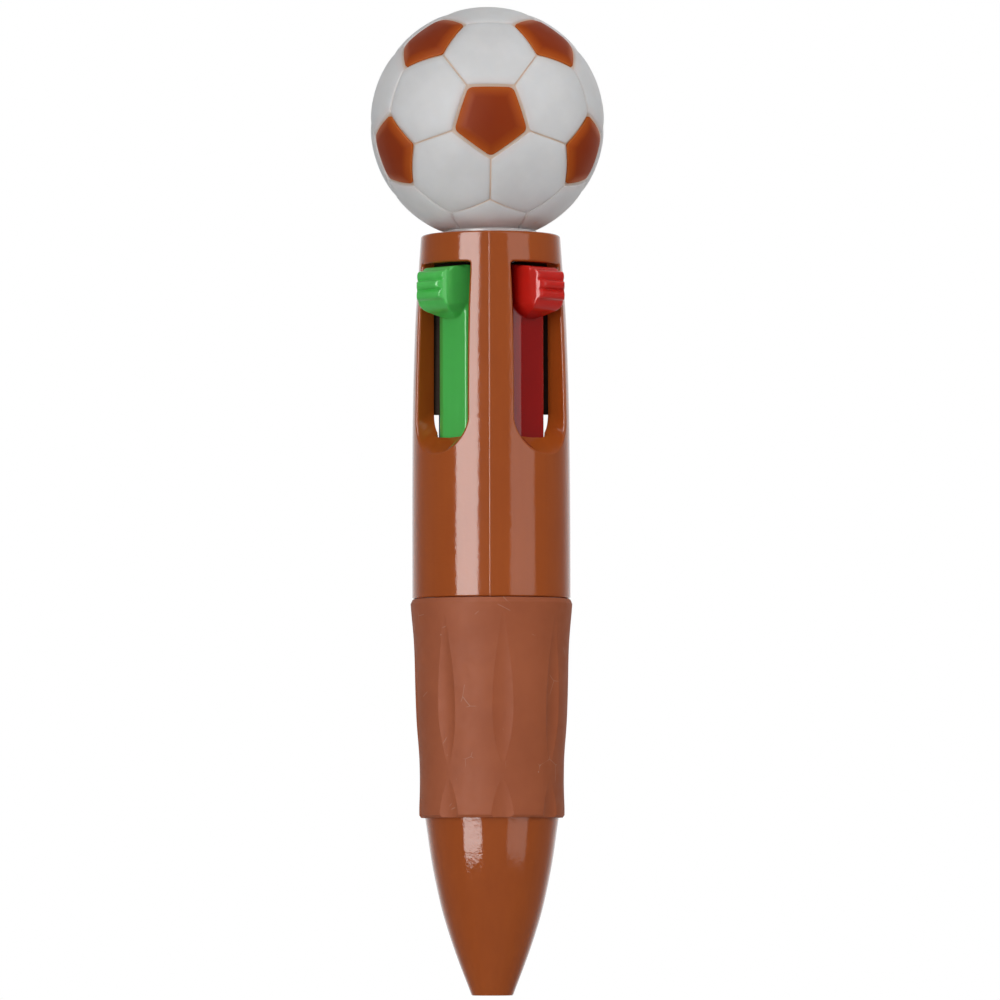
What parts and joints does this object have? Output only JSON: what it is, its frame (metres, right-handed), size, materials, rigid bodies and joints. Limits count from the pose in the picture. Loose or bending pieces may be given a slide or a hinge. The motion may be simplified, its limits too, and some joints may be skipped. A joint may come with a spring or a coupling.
{
  "type": "multicolour click pen",
  "caption": "Retractable ballpoint with coloured sliders in a slotted barrel, a fluted rubber grip, an ogive nose and a soft football topper.",
  "frame": {"origin": "centre of the nose's flat end, on the pen's axis", "axes": "+Z along the pen from the nose to the football; the sliders lie on +X red, +Y black, -X blue and -Y green"},
  "size_m": [0.0344, 0.0344, 0.145],
  "materials": {
    "barrel_plastic": "glossy moulded brown plastic",
    "plug_white": "smooth white plastic",
    "ball_brown": "soft satin brown rubber",
    "ball_white": "soft satin white silicone",
    "grip_rubber": "matte soft brown rubber",
    "core_plastic": "dark brown moulded plastic",
    "spring_steel": "drawn spring wire",
    "refill_tube": "translucent natural plastic",
    "point_metal": "turned nickel silver",
    "ball_metal": "polished carbide",
    "green_plastic": "glossy green plastic",
    "red_plastic": "glossy red plastic",
    "blue_plastic": "glossy blue plastic",
    "black_plastic": "glossy black plastic",
    "ink_green": "green ink paste",
    "ink_red": "red ink paste",
    "ink_blue": "blue ink paste",
    "ink_black": "black ink paste"
  },
  "bodies": {
    "pen_body": {"upper_barrel": "barrel_plastic", "top_cap": "barrel_plastic", "topper_plug": "plug_white", "ball_core": "ball_brown", "ball_cover": "ball_white", "lower_barrel": "barrel_plastic", "grip_sleeve": "grip_rubber", "guide_core": "core_plastic", "spring_plate": "core_plastic", "return_spring_green": "spring_steel", "return_spring_red": "spring_steel", "return_spring_blue": "spring_steel", "return_spring_black": "spring_steel"},
    "green_slider": {"slider_green": "green_plastic", "refill_tube_green": "refill_tube", "ink_green": "ink_green", "refill_tip_green": "point_metal", "writing_ball_green": "ball_metal"},
    "red_slider": {"slider_red": "red_plastic", "refill_tube_red": "refill_tube", "ink_red": "ink_red", "refill_tip_red": "point_metal", "writing_ball_red": "ball_metal"},
    "blue_slider": {"slider_blue": "blue_plastic", "refill_tube_blue": "refill_tube", "ink_blue": "ink_blue", "refill_tip_blue": "point_metal", "writing_ball_blue": "ball_metal"},
    "black_slider": {"slider_black": "black_plastic", "refill_tube_black": "refill_tube", "ink_black": "ink_black", "refill_tip_black": "point_metal", "writing_ball_black": "ball_metal"}
  },
  "joints": [
    {"name": "green_slide", "type": "slide", "parent": "pen_body", "child": "green_slider", "axis": [0, 0, -1], "range_m": [0, 0.014], "stiffness_N_per_m": 59, "springref_m": -0.01, "deforming": ["return_spring_green"]},
    {"name": "red_slide", "type": "slide", "parent": "pen_body", "child": "red_slider", "axis": [0, 0, -1], "range_m": [0, 0.014], "stiffness_N_per_m": 59, "springref_m": -0.01, "deforming": ["return_spring_red"]},
    {"name": "blue_slide", "type": "slide", "parent": "pen_body", "child": "blue_slider", "axis": [0, 0, -1], "range_m": [0, 0.014], "stiffness_N_per_m": 59, "springref_m": -0.01, "deforming": ["return_spring_blue"]},
    {"name": "black_slide", "type": "slide", "parent": "pen_body", "child": "black_slider", "axis": [0, 0, -1], "range_m": [0, 0.014], "stiffness_N_per_m": 59, "springref_m": -0.01, "deforming": ["return_spring_black"]}
  ]
}
